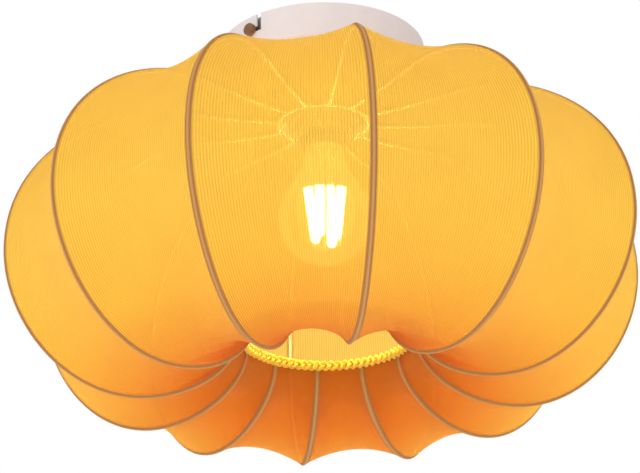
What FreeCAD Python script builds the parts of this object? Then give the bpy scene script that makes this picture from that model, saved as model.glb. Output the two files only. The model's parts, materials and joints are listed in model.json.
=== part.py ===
import FreeCAD, Part
import math
import os
import Sketcher

# Stretch-fabric pumpkin lantern that hangs flush under a ceiling, with its bulb and fittings.
# Millimetres. The origin is the centre of the ceiling plane, +Z points up into the ceiling, and the
# fixing bar lies along X with its two thumb screws at -X and +X. Everything hangs below z = 0.

VECTOR = FreeCAD.Vector
UP = VECTOR(0, 0, 1)

# ---------------------------------------------------------------- driving dimensions
SIZES = [
    # the wire frame of the shade; radii and drops below the ceiling are those of the rib's centreline
    ("shade_radius", 198.0), ("equator_drop", 144.0),
    ("shoulder_radius", 100.0), ("shoulder_drop", 47.5),
    ("belly_radius", 116.0), ("belly_drop", 239.0),
    ("mouth_radius", 57.5), ("mouth_drop", 198.0),
    ("rib_count", 12), ("rib_phase_deg", 19.3), ("rib_wire", 2.6), ("ring_wire", 3.0), ("weld_bite", 0.3),
    # how full each quarter of the rib's curve is, as a share of its span
    ("hub_full", 0.60), ("shoulder_in_full", 0.28), ("shoulder_out_full", 0.34), ("equator_up_full", 0.70),
    ("equator_low_full", 0.49), ("belly_out_full", 0.55), ("belly_in_full", 0.55), ("mouth_full", 0.55),
    # the fabric between two ribs, and the braid round the mouth
    ("fabric_wall", 0.8), ("fabric_gap", 0.1), ("hub_hem", 1.2), ("mouth_hem", 0.8),
    ("sag_shoulder", 5.5), ("sag_equator", 8.5), ("sag_belly", 9.5), ("braid_thick", 6.0),
    # the ceiling bar and the canopy that hides it
    ("canopy_radius", 66.5), ("canopy_depth", 25.0), ("canopy_wall", 1.0), ("canopy_edge", 4.0),
    ("bar_width", 20.0), ("bar_wall", 1.8), ("bar_gap", 1.4), ("tab_end", 6.0), ("bend_radius", 2.4),
    ("fixing_spacing", 70.0), ("fixing_slot_length", 16.0), ("fixing_slot_width", 4.6), ("cable_hole", 18.0),
    # the thumb screws, their washers and the canopy's L-shaped slots
    ("screw_shank", 3.0), ("screw_tail", 6.2), ("thumb_head", 8.0), ("thumb_thick", 3.0),
    ("knurl_count", 24), ("knurl_depth", 0.3), ("thread_gap", 0.05), ("washer_wall", 0.5),
    ("washer_brim", 2.0), ("slide_gap", 0.1), ("slot_gap", 0.2), ("slot_drop", 10.0), ("slot_run", 6.0),
    # the threaded nipple and its nut
    ("nipple_width", 10.0), ("nipple_wall", 1.5), ("nipple_rise", 9.0), ("nipple_dip", 9.0),
    ("nut_brim", 2.0), ("nut_thick", 4.0), ("lock_washer_brim", 3.0), ("lock_washer_wall", 0.8),
    # the bulb's cap, and the lampholder that grows outwards from it; depths are below the canopy
    ("cap_radius", 13.1), ("cap_wall", 0.4), ("cap_length", 27.0), ("socket_wall", 0.6), ("core_wall", 2.0),
    ("sleeve_wall", 2.7), ("thread_step", 0.9), ("seat_step", 3.9), ("seat_wall", 2.0), ("holder_wall", 2.0),
    ("holder_cap_depth", 17.0), ("core_depth", 11.0), ("core_floor", 4.5), ("contact_depth", 19.0),
    ("seat_depth", 24.5), ("holder_depth", 38.0),
    # the shade ring that clamps the carrier, and the carrier's lugs out to the top ring
    ("collar_height", 5.5), ("collar_wall", 3.3), ("collar_gap", 0.1), ("collar_edge", 0.8),
    ("carrier_wall", 1.2), ("carrier_width", 4.4), ("lug_width", 8.0), ("lug_reach", 5.6), ("lug_count", 3),
    # the bulb
    ("contact_radius", 4.8), ("contact_height", 1.6), ("insulator_height", 4.0), ("insulator_step", 4.8),
    ("bulb_radius", 30.0), ("bulb_length", 105.0), ("glass_wall", 0.8), ("neck_gap", 0.3),
    ("neck_hidden", 4.0), ("neck_straight", 5.0), ("neck_flare_drop", 8.0), ("neck_flare", 1.2),
    ("high_reach_share", 0.66), ("high_rise_share", 0.87),
    ("low_reach_share", 0.93), ("low_rise_share", 0.42),
    ("stem_radius", 5.0), ("stem_length", 18.0), ("stem_rod", 20.0),
    ("filament_length", 40.0), ("filament_width", 1.6), ("filament_start", 22.0), ("filament_near", 9.0),
    ("filament_far", 12.0), ("filament_lean", 2.0), ("filament_turn_deg", 20.0), ("lead_width", 0.7),
    # the wiring on the canopy's floor
    ("block_length", 27.0), ("block_width", 14.0), ("block_height", 12.0), ("block_offset", 34.0),
    ("block_screw", 3.5), ("wire_width", 2.2), ("wire_spread", 1.7), ("wire_bend", 4.5), ("bore_bend", 2.5),
    ("bore_lead_in", 7.2), ("stud_lead_in", 13.5), ("stud_width", 4.0), ("stud_offset", 32.0),
]

doc = FreeCAD.newDocument("Lantern")
sheet = doc.addObject("Spreadsheet::Sheet", "Sizes")
for line, (alias, number) in enumerate(SIZES, start=1):
    sheet.set("A%d" % line, alias)
    sheet.set("B%d" % line, str(number))
    sheet.setAlias("B%d" % line, alias)
doc.recompute()


class Measure:
    """A length that knows both its number and the sheet expression it comes from."""

    def __init__(self, text, number):
        self.text = text
        self.number = number

    def joined(self, sign, other, number):
        return Measure("(%s %s %s)" % (self.text, sign, measure(other).text), number)

    def __add__(self, other):
        return self.joined("+", other, self.number + measure(other).number)

    def __sub__(self, other):
        return self.joined("-", other, self.number - measure(other).number)

    def __mul__(self, other):
        return self.joined("*", other, self.number * measure(other).number)

    def __truediv__(self, other):
        return self.joined("/", other, self.number / measure(other).number)

    def __neg__(self):
        return Measure("(0 - %s)" % self.text, -self.number)


def measure(value):
    return value if isinstance(value, Measure) else Measure("%.9g" % value, float(value))


def size(alias):
    return Measure("Sizes.%s" % alias, float(sheet.get(alias)))


def number(alias):
    return size(alias).number


ZERO = measure(0)

# ---------------------------------------------------------------- helpers for bodies and sketches
SUB_PARTS = []


def sub_part(part, label):
    """Names the object after its node and keeps it for the export."""
    part.Label = label
    SUB_PARTS.append(part)
    return part


def new_body(label):
    return sub_part(doc.addObject("PartDesign::Body", label), label)


def bind(target, prop, value):
    target.setExpression(prop, measure(value).text)


def sketch_on(body, role, name, lift=ZERO):
    """An empty sketch on one of the body's own origin planes, lifted along that plane's normal."""
    sketch = body.newObject("Sketcher::SketchObject", name)
    plane = [item for item in body.Origin.OriginFeatures if item.Role == role][0]
    sketch.AttachmentSupport = [(plane, "")]
    sketch.MapMode = "FlatFace"
    sketch.AttachmentOffset = FreeCAD.Placement(VECTOR(0, 0, lift.number), FreeCAD.Rotation())
    if lift is not ZERO:
        bind(sketch, ".AttachmentOffset.Base.z", lift)
    return sketch


def pin_point(sketch, edge, end, along, up):
    """Holds one end of an edge at a place that the sheet gives."""
    for kind, value in (("DistanceX", along), ("DistanceY", up)):
        value = measure(value)
        held = sketch.addConstraint(Sketcher.Constraint(kind, -1, 1, edge, end, value.number))
        bind(sketch, "Constraints[%d]" % held, value)


def add_outline(sketch, corners):
    """A closed outline of straight edges through the given corners."""
    first = sketch.GeometryCount
    places = [VECTOR(measure(a).number, measure(b).number, 0) for a, b in corners]
    for index, place in enumerate(places):
        sketch.addGeometry(Part.LineSegment(place, places[(index + 1) % len(places)]))
    for index, (along, up) in enumerate(corners):
        following = first + (index + 1) % len(corners)
        sketch.addConstraint(Sketcher.Constraint("Coincident", first + index, 2, following, 1))
        pin_point(sketch, first + index, 1, along, up)


def add_circle(sketch, along, up, radius):
    circle = Part.Circle(VECTOR(measure(along).number, measure(up).number, 0), UP, measure(radius).number)
    edge = sketch.addGeometry(circle)
    held = sketch.addConstraint(Sketcher.Constraint("Radius", edge, circle.Radius))
    bind(sketch, "Constraints[%d]" % held, radius)
    pin_point(sketch, edge, 3, along, up)


def revolve_outline(body, name, corners):
    """A full turn about Z of an outline given as (radius, height) corners."""
    sketch = sketch_on(body, "XZ_Plane", name + "_outline")
    add_outline(sketch, corners)
    turned = body.newObject("PartDesign::Revolution", name)
    turned.Profile = sketch
    turned.ReferenceAxis = (sketch, ["V_Axis"])
    turned.Angle = 360
    sketch.Visibility = False
    return turned


def turned_body(label, corners):
    body = new_body(label)
    revolve_outline(body, label + "_turn", corners)
    return body


def tube_corners(inner, outer, low, high):
    return [(inner, low), (outer, low), (outer, high), (inner, high)]


def pad(body, sketch, length, midplane=False, reverse=False):
    feature = body.newObject("PartDesign::Pad", sketch.Name + "_pad")
    feature.Profile = sketch
    bind(feature, "Length", length)
    feature.Midplane = midplane
    feature.Reversed = reverse
    return feature


def pocket(body, sketch, length, midplane=False, reverse=False):
    """Cuts the sketch into the body, and makes sure that it took something away."""
    doc.recompute()
    before = body.Shape.Volume
    feature = body.newObject("PartDesign::Pocket", sketch.Name + "_cut")
    feature.Profile = sketch
    bind(feature, "Length", length)
    feature.Midplane = midplane
    feature.Reversed = reverse
    doc.recompute()
    if not body.Shape.Volume < before:
        raise RuntimeError("%s cut nothing from %s" % (sketch.Name, body.Label))
    return feature


def polar_pattern(body, feature, count):
    doc.recompute()
    pattern = body.newObject("PartDesign::PolarPattern", feature.Name + "_round")
    pattern.Originals = [feature]
    axis = [item for item in body.Origin.OriginFeatures if item.Role == "Z_Axis"][0]
    pattern.Axis = (axis, [""])
    pattern.Angle = 360
    bind(pattern, "Occurrences", count)
    body.Tip = pattern
    return pattern


def fillet_edges(body, radius, chosen):
    """Rounds the edges of the body's shape that the test picks out."""
    doc.recompute()
    names = ["Edge%d" % index for index, edge in enumerate(body.Shape.Edges, start=1) if chosen(edge)]
    before = body.Tip
    feature = body.newObject("PartDesign::Fillet", body.Name + "_round_%d" % len(body.Group))
    feature.Base = (before, names)
    bind(feature, "Radius", radius)
    body.Tip = feature
    return feature


def plain_feature(label, shape):
    return sub_part_shape(doc.addObject("Part::Feature", label), label, shape)


def sub_part_shape(part, label, shape):
    part.Shape = shape
    return sub_part(part, label)


# ---------------------------------------------------------------- places that several pieces share
CANOPY_RADIUS = size("canopy_radius")
CANOPY_INSIDE = CANOPY_RADIUS - size("canopy_wall")
CANOPY_FLOOR = -size("canopy_depth")
CANOPY_FLOOR_INSIDE = CANOPY_FLOOR + size("canopy_wall")
TAB_FACE = CANOPY_INSIDE - size("bar_gap")
NIPPLE_RADIUS = size("nipple_width") / 2
SHANK_RADIUS = size("screw_shank") / 2
SCREW_HEIGHT = -size("slot_drop")
SOCKET_RADIUS = size("cap_radius") + size("slide_gap")
CORE_RADIUS = SOCKET_RADIUS + size("socket_wall") + size("core_wall")
CORE_TOP = CANOPY_FLOOR - size("core_depth")
THREAD_RADIUS = CORE_RADIUS + size("slide_gap") + size("sleeve_wall")
SEAT = CANOPY_FLOOR - size("seat_depth")
HOLDER_RIM = CANOPY_FLOOR - size("holder_depth")
CARRIER_HOLE = THREAD_RADIUS + size("collar_gap") * 2
CARRIER_LOW = SEAT - size("carrier_wall")
RING_WIRE_RADIUS = size("ring_wire") / 2
TOP_RING_RADIUS = CARRIER_HOLE + size("carrier_width") + size("lug_reach")
TOP_RING_HEIGHT = CARRIER_LOW - RING_WIRE_RADIUS
MOUTH_HEIGHT = -size("mouth_drop")
CONTACT_TIP = CANOPY_FLOOR - size("contact_depth")
CAP_END = CONTACT_TIP - size("cap_length")


# ---------------------------------------------------------------- the fixing bar on the ceiling
def make_ceiling_bar():
    """Flat steel strip with both ends turned down; each end is tapped for a thumb screw."""
    body = new_body("ceiling_bar")
    wall = size("bar_wall")
    inner = TAB_FACE - wall
    low = SCREW_HEIGHT - size("tab_end")
    side = sketch_on(body, "XZ_Plane", "bar_side")
    add_outline(side, [
        (-TAB_FACE, ZERO), (TAB_FACE, ZERO), (TAB_FACE, low), (inner, low),
        (inner, -wall), (-inner, -wall), (-inner, low), (-TAB_FACE, low),
    ])
    pad(body, side, size("bar_width"), midplane=True)

    def outer_bend(edge):
        box = edge.BoundBox
        return box.YLength > 1 and box.XLength + box.ZLength < 1e-6 and abs(box.ZMax) < 1e-6

    def inner_bend(edge):
        box = edge.BoundBox
        level = abs(box.ZMax + wall.number) < 1e-6
        return box.YLength > 1 and box.XLength + box.ZLength < 1e-6 and level

    fillet_edges(body, size("bend_radius"), outer_bend)
    fillet_edges(body, size("bend_radius") - wall, inner_bend)
    face = sketch_on(body, "XY_Plane", "bar_holes")
    add_circle(face, 0, 0, size("cable_hole") / 2)
    half_width = size("fixing_slot_width") / 2
    half_run = size("fixing_slot_length") / 2 - half_width
    for side_sign in (-1, 1):
        middle = size("fixing_spacing") / 2 * side_sign
        add_slot(face, middle, half_run, half_width)
    pocket(body, face, wall * 4, midplane=True)
    ends = sketch_on(body, "YZ_Plane", "tab_holes")
    add_circle(ends, 0, SCREW_HEIGHT, SHANK_RADIUS + size("thread_gap"))
    pocket(body, ends, TAB_FACE * 4, midplane=True)


def add_slot(sketch, middle, half_run, half_width):
    """A slot with round ends that runs along the sketch's first axis."""
    first = sketch.GeometryCount
    x, run, width = middle.number, half_run.number, half_width.number
    for low, high, level in ((x - run, x + run, width), (x - run, x + run, -width)):
        sketch.addGeometry(Part.LineSegment(VECTOR(low, level, 0), VECTOR(high, level, 0)))
    for centre, start in ((x + run, -90), (x - run, 90)):
        circle = Part.Circle(VECTOR(centre, 0, 0), UP, width)
        turn = (math.radians(start), math.radians(start + 180))
        sketch.addGeometry(Part.ArcOfCircle(circle, *turn))
    for edge, level in ((first, half_width), (first + 1, -half_width)):
        pin_point(sketch, edge, 1, middle - half_run, level)
        pin_point(sketch, edge, 2, middle + half_run, level)
    joins = [(first + 2, 1, first + 1, 2), (first + 2, 2, first, 2),
             (first + 3, 1, first, 1), (first + 3, 2, first + 1, 1)]
    for join in joins:
        sketch.addConstraint(Sketcher.Constraint("Coincident", *join))
    for arc, centre in ((first + 2, middle + half_run), (first + 3, middle - half_run)):
        held = sketch.addConstraint(Sketcher.Constraint("DistanceX", -1, 1, arc, 3, centre.number))
        bind(sketch, "Constraints[%d]" % held, centre)


# ---------------------------------------------------------------- the thumb screws
def make_thumb_screws():
    """Knurled brass screws through the canopy's slots into the bar's tabs, each on a thin washer."""
    shank = SHANK_RADIUS
    head = size("thumb_head") / 2
    grip = size("slide_gap") + size("washer_wall") + size("canopy_wall") + size("bar_gap") + size("bar_wall")
    end = -grip - size("screw_tail")
    for side_name, sign in (("left", -1), ("right", 1)):
        turn = FreeCAD.Rotation(VECTOR(0, 1, 0), 90 * sign)
        washer_place = (CANOPY_RADIUS + size("slide_gap")) * sign
        head_place = washer_place + size("washer_wall") * sign
        washer = turned_body(
            side_name + "_washer",
            tube_corners(shank + size("thread_gap"), shank + size("washer_brim"), ZERO, size("washer_wall")))
        place_along_x(washer, turn, washer_place)
        body = new_body(side_name + "_thumb_screw")
        relief = size("knurl_depth")
        revolve_outline(body, body.Name + "_turn", [
            (ZERO, end), (shank - relief, end), (shank, end + relief), (shank, ZERO),
            (head - relief, ZERO), (head, relief), (head, size("thumb_thick") - relief),
            (head - relief, size("thumb_thick")), (ZERO, size("thumb_thick")),
        ])
        groove = sketch_on(body, "XY_Plane", body.Name + "_knurl")
        add_outline(groove, [
            (head - relief, ZERO), (head + relief, -relief * 2), (head + relief, relief * 2)])
        cut = pocket(body, groove, size("thumb_thick"), reverse=True)
        polar_pattern(body, cut, size("knurl_count"))
        place_along_x(body, turn, head_place)


def place_along_x(body, turn, place):
    """Turns a piece made along Z to face out along X at the height of the canopy's slots."""
    body.Placement = FreeCAD.Placement(VECTOR(place.number, 0, SCREW_HEIGHT.number), turn)
    bind(body, ".Placement.Base.x", place)
    bind(body, ".Placement.Base.z", SCREW_HEIGHT)


# ---------------------------------------------------------------- the canopy
def make_canopy():
    """Drawn steel pan; two L-shaped slots in its wall hang it on the thumb screws."""
    wall = size("canopy_wall")
    body = new_body("canopy")
    revolve_outline(body, "canopy_turn", [
        (NIPPLE_RADIUS + size("thread_gap"), CANOPY_FLOOR), (CANOPY_RADIUS, CANOPY_FLOOR),
        (CANOPY_RADIUS, ZERO), (CANOPY_INSIDE, ZERO), (CANOPY_INSIDE, CANOPY_FLOOR_INSIDE),
        (NIPPLE_RADIUS + size("thread_gap"), CANOPY_FLOOR_INSIDE),
    ])

    def round_at(height, radius):
        def chosen(edge):
            box = edge.BoundBox
            wide = abs(box.XLength - 2 * radius.number) < 1e-3
            return wide and abs(box.ZMax - height.number) < 1e-3 and box.ZLength < 1e-3
        return chosen

    fillet_edges(body, size("canopy_edge"), round_at(CANOPY_FLOOR, CANOPY_RADIUS))
    fillet_edges(body, size("canopy_edge") - wall, round_at(CANOPY_FLOOR_INSIDE, CANOPY_INSIDE))
    half = SHANK_RADIUS + size("slot_gap")
    run = -size("slot_run")
    drop = SCREW_HEIGHT
    slot = sketch_on(body, "YZ_Plane", "canopy_slot")
    add_outline(slot, [
        (run - half, wall), (run + half, wall), (run + half, drop + half), (half, drop + half),
        (half, drop - half), (run - half, drop - half),
    ])
    cut = pocket(body, slot, CANOPY_RADIUS * 2)
    polar_pattern(body, cut, measure(2))


# ---------------------------------------------------------------- nipple, nut and wiring
def make_nipple_set():
    """Hollow M10 thread with its nut and lock washer; it holds the lampholder under the canopy."""
    turned_body("nipple", tube_corners(
        NIPPLE_RADIUS - size("nipple_wall"), NIPPLE_RADIUS, CANOPY_FLOOR - size("nipple_dip"),
        CANOPY_FLOOR_INSIDE + size("nipple_rise")))
    washer_top = CANOPY_FLOOR_INSIDE + size("lock_washer_wall")
    bore = NIPPLE_RADIUS + size("thread_gap")
    turned_body("lock_washer", tube_corners(
        bore, NIPPLE_RADIUS + size("lock_washer_brim"), CANOPY_FLOOR_INSIDE, washer_top))
    blank = doc.addObject("Part::Prism", "nut_blank")
    blank.Polygon = 6
    bind(blank, "Circumradius", (NIPPLE_RADIUS + size("nut_brim")) / math.cos(math.radians(30)))
    bind(blank, "Height", size("nut_thick"))
    bind(blank, ".Placement.Base.z", washer_top)
    hole = doc.addObject("Part::Cylinder", "nut_hole")
    bind(hole, "Radius", bore)
    bind(hole, "Height", size("nut_thick") * 3)
    bind(hole, ".Placement.Base.z", washer_top - size("nut_thick"))
    nut = doc.addObject("Part::Cut", "nipple_nut")
    nut.Base = blank
    nut.Tool = hole
    sub_part(nut, "nipple_nut")


def route(points, bend):
    """Straight runs through the points, joined by arcs of one radius that touch both runs."""
    edges = []
    start = points[0]
    for before, corner, after in zip(points, points[1:], points[2:]):
        come = (corner - before).normalize()
        leave = (after - corner).normalize()
        half_turn = come.getAngle(leave) / 2
        setback = bend * math.tan(half_turn)
        enter = corner - come * setback
        exit_point = corner + leave * setback
        inward = (leave - come).normalize()
        middle = corner + inward * (bend / math.cos(half_turn) - bend)
        edges.append(Part.LineSegment(start, enter).toShape())
        edges.append(Part.Arc(enter, middle, exit_point).toShape())
        start = exit_point
    edges.append(Part.LineSegment(start, points[-1]).toShape())
    return Part.Wire(edges)


def tube_along(points, bend, width):
    path = route(points, bend)
    first = points[1] - points[0]
    ring = Part.Wire([Part.Circle(points[0], first, width / 2).toShape()])
    return path.makePipeShell([ring], True, True)


def make_wiring():
    """Three-way terminal block on the canopy's floor, two wires down the nipple, and the earth wire."""
    block = new_body("terminal_block")
    floor = CANOPY_FLOOR_INSIDE
    half_length = size("block_length") / 2
    near = size("block_offset") - size("block_width") / 2
    far = size("block_offset") + size("block_width") / 2
    base = sketch_on(block, "XY_Plane", "block_base", floor)
    add_outline(base, [(-half_length, near), (half_length, near), (half_length, far), (-half_length, far)])
    pad(block, base, size("block_height"))
    way = size("block_length") / 3
    screws = sketch_on(block, "XY_Plane", "block_screws", floor + size("block_height"))
    for step in (-1, 0, 1):
        for across in (near + size("block_width") / 4, far - size("block_width") / 4):
            add_circle(screws, way * step, across, size("block_screw") / 2)
    pocket(block, screws, size("block_height") / 3)
    entries = sketch_on(block, "XZ_Plane", "block_entries", -near)
    entry_height = floor + size("block_height") / 2
    for step in (-1, 0, 1):
        add_circle(entries, way * step, entry_height, size("wire_width") / 2 + size("slide_gap"))
    pocket(block, entries, size("block_width") / 4, reverse=False)

    bend = number("wire_bend")
    width = number("wire_width")
    entry = entry_height.number
    inside = near.number + number("block_width") / 4
    top = (CANOPY_FLOOR_INSIDE + size("nipple_rise")).number + 2 * bend
    bottom = CORE_TOP.number
    for label, step in (("live_wire", -1), ("neutral_wire", 0)):
        x_block = way.number * step
        x_bore = number("wire_spread") * (1 if step == 0 else -1)
        points = [VECTOR(x_block, inside, entry), VECTOR(x_block, near.number - 2 * bend, entry),
                  VECTOR(x_bore, number("bore_lead_in"), top), VECTOR(x_bore, 0, top),
                  VECTOR(x_bore, 0, bottom)]
        plain_feature(label, tube_along(points, number("bore_bend"), width))
    stud_place = VECTOR(number("stud_offset"), 0, floor.number)
    earth = way.number
    level = floor.number + number("stud_width") / 2
    points = [VECTOR(earth, inside, entry), VECTOR(earth, near.number - 2 * bend, entry),
              VECTOR(stud_place.x, number("stud_lead_in"), level),
              VECTOR(stud_place.x, number("stud_width") / 2, level)]
    plain_feature("earth_wire", tube_along(points, bend, width))
    stud = doc.addObject("Part::Cylinder", "earth_stud")
    bind(stud, "Radius", size("stud_width") / 2)
    bind(stud, "Height", size("stud_width"))
    bind(stud, ".Placement.Base.x", size("stud_offset"))
    bind(stud, ".Placement.Base.z", floor)
    sub_part(stud, "earth_stud")


# ---------------------------------------------------------------- the lampholder
def make_lampholder():
    """Screwed-together E27 holder: cap, sleeve with the shade's seat, porcelain core, brass screw shell."""
    wall = size("holder_wall")
    radius = THREAD_RADIUS + size("thread_step")
    bore = NIPPLE_RADIUS + size("thread_gap")
    boss = bore + wall * 1.5
    shoulder = CANOPY_FLOOR - wall * 4
    cap_low = CANOPY_FLOOR - size("holder_cap_depth")
    turned_body("holder_cap", [
        (bore, CANOPY_FLOOR), (boss, CANOPY_FLOOR), (boss, CANOPY_FLOOR - wall),
        (radius - wall, CANOPY_FLOOR - wall * 3), (radius, shoulder), (radius, cap_low),
        (radius - wall, cap_low), (radius - wall, shoulder - wall / 2), (bore + wall, shoulder),
        (bore, shoulder),
    ])
    sleeve_bore = CORE_RADIUS + size("slide_gap")
    turned_body("holder_sleeve", [
        (sleeve_bore, cap_low), (radius, cap_low), (radius, SEAT + size("seat_wall")),
        (THREAD_RADIUS + size("seat_step"), SEAT + size("seat_wall")),
        (THREAD_RADIUS + size("seat_step"), SEAT), (THREAD_RADIUS, SEAT),
        (THREAD_RADIUS, HOLDER_RIM), (sleeve_bore, HOLDER_RIM),
    ])
    core_floor = CORE_TOP - size("core_floor")
    shell_out = SOCKET_RADIUS + size("socket_wall")
    core_low = HOLDER_RIM + wall
    turned_body("holder_core", [
        (ZERO, CORE_TOP), (CORE_RADIUS, CORE_TOP), (CORE_RADIUS, core_low), (shell_out, core_low),
        (shell_out, core_floor), (ZERO, core_floor),
    ])
    turned_body("socket_shell", tube_corners(
        SOCKET_RADIUS, shell_out, core_low, core_floor - size("contact_height")))
    spring = new_body("socket_contact")
    leaf = sketch_on(spring, "XZ_Plane", "contact_leaf")
    strip = size("socket_wall")
    tip = CONTACT_TIP + size("slide_gap")
    reach = size("contact_radius")
    add_outline(leaf, [
        (-reach, core_floor), (-reach, core_floor - strip), (-reach / 2, tip), (reach, tip),
        (reach, tip + strip), (-reach / 4, tip + strip), (-reach / 2, core_floor)])
    pad(spring, leaf, reach, midplane=True)


# ---------------------------------------------------------------- the bulb
def make_bulb():
    """Clear filament bulb: brass cap with its insulator and contact, blown glass, stem and filaments."""
    cap = size("cap_radius")
    contact_low = CONTACT_TIP - size("contact_height")
    insulator_low = contact_low - size("insulator_height")
    contact = size("contact_radius")
    turned_body("bulb_contact", [
        (ZERO, contact_low), (contact, contact_low), (contact, CONTACT_TIP - size("cap_wall")),
        (contact - size("cap_wall") * 2, CONTACT_TIP), (ZERO, CONTACT_TIP)])
    wide = contact + size("insulator_step")
    turned_body("bulb_insulator", [
        (ZERO, insulator_low), (wide, insulator_low), (contact, contact_low), (ZERO, contact_low)])
    skin = size("cap_wall")
    slope = cap - wide
    turned_body("bulb_cap", [
        (wide - skin, insulator_low), (wide, insulator_low), (cap, insulator_low - slope), (cap, CAP_END),
        (cap - skin, CAP_END), (cap - skin, insulator_low - slope - skin),
        (wide - skin, insulator_low - skin)])

    # the glass is one smooth blown curve, so its outline is a spline turned about the axis
    neck = number("cap_radius") - number("cap_wall") - number("neck_gap")
    low = CONTACT_TIP.number - number("bulb_length")
    neck_top = CAP_END.number + number("neck_hidden")
    plain_feature("bulb_glass", turned_shell(neck_top, low, number("bulb_radius"), neck))

    stem = size("stem_radius")
    tip = CAP_END - size("stem_length")
    rod_end = tip - size("stem_rod")
    turned_body("bulb_stem", [
        (ZERO, rod_end), (stem / 5, rod_end), (stem / 4, tip), (stem / 2, tip + stem / 2),
        (stem * 0.7, CAP_END), (stem * 1.6, CAP_END + size("neck_hidden")),
        (ZERO, CAP_END + size("neck_hidden"))])

    # four strips stand round the stem and lean in turn, two wide at the top and two wide at the bottom
    filament_top = CAP_END.number - number("filament_start")
    reaches = (number("filament_near"), number("filament_far"))
    strands = []
    leads = []
    for turn in range(4):
        angle = 90 * turn + number("filament_turn_deg")
        start_reach = reaches[turn % 2]
        end_reach = reaches[(turn + 1) % 2] - number("filament_lean")
        start = ring_point(start_reach, angle, filament_top)
        drop = math.sqrt(number("filament_length") ** 2 - (start_reach - end_reach) ** 2)
        end = ring_point(end_reach, angle, filament_top - drop)
        run = end - start
        strands.append(Part.makeCylinder(number("filament_width") / 2, run.Length, start, run))
        hub_top = ring_point(stem.number / 2, angle, (tip + stem).number)
        hub_low = ring_point(stem.number / 5, angle, rod_end.number + number("lead_width"))
        for hub, outer in ((hub_top, start), (hub_low, end)):
            leg = outer - hub
            short = leg * (1 - number("filament_width") / leg.Length)
            leads.append(Part.makeCylinder(number("lead_width") / 2, short.Length, hub, short))
    plain_feature("bulb_filaments", Part.makeCompound(strands))
    plain_feature("bulb_leads", Part.makeCompound(leads))


def ring_point(reach, degrees, height):
    angle = math.radians(degrees)
    return VECTOR(reach * math.cos(angle), reach * math.sin(angle), height)


def turned_shell(top, low, globe, neck):
    """Hollow glass envelope with an open neck: an outer curve and one a wall's thickness inside it."""
    wall = number("glass_wall")
    middle = low + globe
    flare = neck + number("neck_flare")
    high_reach, high_rise = globe * number("high_reach_share"), globe * number("high_rise_share")
    low_reach, low_rise = globe * number("low_reach_share"), globe * number("low_rise_share")
    outer = [VECTOR(neck, 0, top), VECTOR(neck, 0, top - number("neck_straight")),
             VECTOR(flare, 0, top - number("neck_straight") - number("neck_flare_drop")),
             VECTOR(high_reach, 0, middle + high_rise), VECTOR(low_reach, 0, middle + low_rise),
             VECTOR(globe, 0, middle)]
    curve = Part.BSplineCurve()
    curve.interpolate(outer, InitialTangent=VECTOR(0, 0, -1), FinalTangent=VECTOR(0, 0, -1))
    bowl = Part.Arc(VECTOR(globe, 0, middle), ring_point_xz(globe, middle), VECTOR(0, 0, low))
    profile = Part.Wire([curve.toShape(), bowl.toShape()])
    lines = [Part.LineSegment(VECTOR(0, 0, low), VECTOR(0, 0, top)).toShape(),
             Part.LineSegment(VECTOR(0, 0, top), outer[0]).toShape()]
    solid = Part.Face(Part.Wire(profile.Edges + lines)).revolve(VECTOR(0, 0, 0), UP, 360)
    inside = [VECTOR(point.x - wall, 0, point.z) for point in outer]
    inner_curve = Part.BSplineCurve()
    inner_curve.interpolate(inside, InitialTangent=VECTOR(0, 0, -1), FinalTangent=VECTOR(0, 0, -1))
    inner_bowl = Part.Arc(inside[-1], ring_point_xz(globe - wall, middle), VECTOR(0, 0, low + wall))
    lines = [Part.LineSegment(VECTOR(0, 0, low + wall), VECTOR(0, 0, top)).toShape(),
             Part.LineSegment(VECTOR(0, 0, top), inside[0]).toShape()]
    hollow = Part.Wire([inner_curve.toShape(), inner_bowl.toShape()] + lines)
    return solid.cut(Part.Face(hollow).revolve(VECTOR(0, 0, 0), UP, 360))


def ring_point_xz(radius, middle):
    half = radius * math.sqrt(0.5)
    return VECTOR(half, 0, middle - half)


# ---------------------------------------------------------------- the shade's frame
def rib_quarters():
    """The rib's centreline as four curves: hub to shoulder, to equator, to belly, to mouth."""
    bite = RING_WIRE_RADIUS - size("weld_bite")
    hub = ((TOP_RING_RADIUS + bite).number, TOP_RING_HEIGHT.number)
    shoulder = (number("shoulder_radius"), -number("shoulder_drop"))
    equator = (number("shade_radius"), -number("equator_drop"))
    belly = (number("belly_radius"), -number("belly_drop"))
    mouth = (number("mouth_radius"), (MOUTH_HEIGHT - bite).number)
    level, upright = (1, 0), (0, 1)
    spans = [
        (hub, shoulder, level, level, "hub_full", "shoulder_in_full"),
        (shoulder, equator, level, upright, "shoulder_out_full", "equator_up_full"),
        (equator, belly, upright, level, "equator_low_full", "belly_out_full"),
        (belly, mouth, level, upright, "belly_in_full", "mouth_full"),
    ]
    quarters = []
    for start, end, leave, arrive, start_full, end_full in spans:
        across, up = end[0] - start[0], end[1] - start[1]
        a, b = number(start_full), number(end_full)
        quarter = Part.BezierCurve()
        quarter.setPoles([
            VECTOR(start[0], start[1], 0),
            VECTOR(start[0] + a * across * leave[0], start[1] + a * up * leave[1], 0),
            VECTOR(end[0] - b * across * arrive[0], end[1] - b * up * arrive[1], 0),
            VECTOR(end[0], end[1], 0),
        ])
        quarters.append(quarter)
    return quarters


def rib_arcs():
    """The rib as four arcs to a quarter that run smoothly into each other, as a wire bender leaves them."""
    quarters = []
    for quarter in rib_quarters():
        arcs = []
        for step in range(2):
            start, end = quarter.value(step / 2), quarter.value((step + 1) / 2)
            leave, arrive = quarter.tangent(step / 2)[0], quarter.tangent((step + 1) / 2)[0]
            arcs += arc_pair(start, leave, end, arrive)
        quarters.append(arcs)
    return quarters


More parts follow.
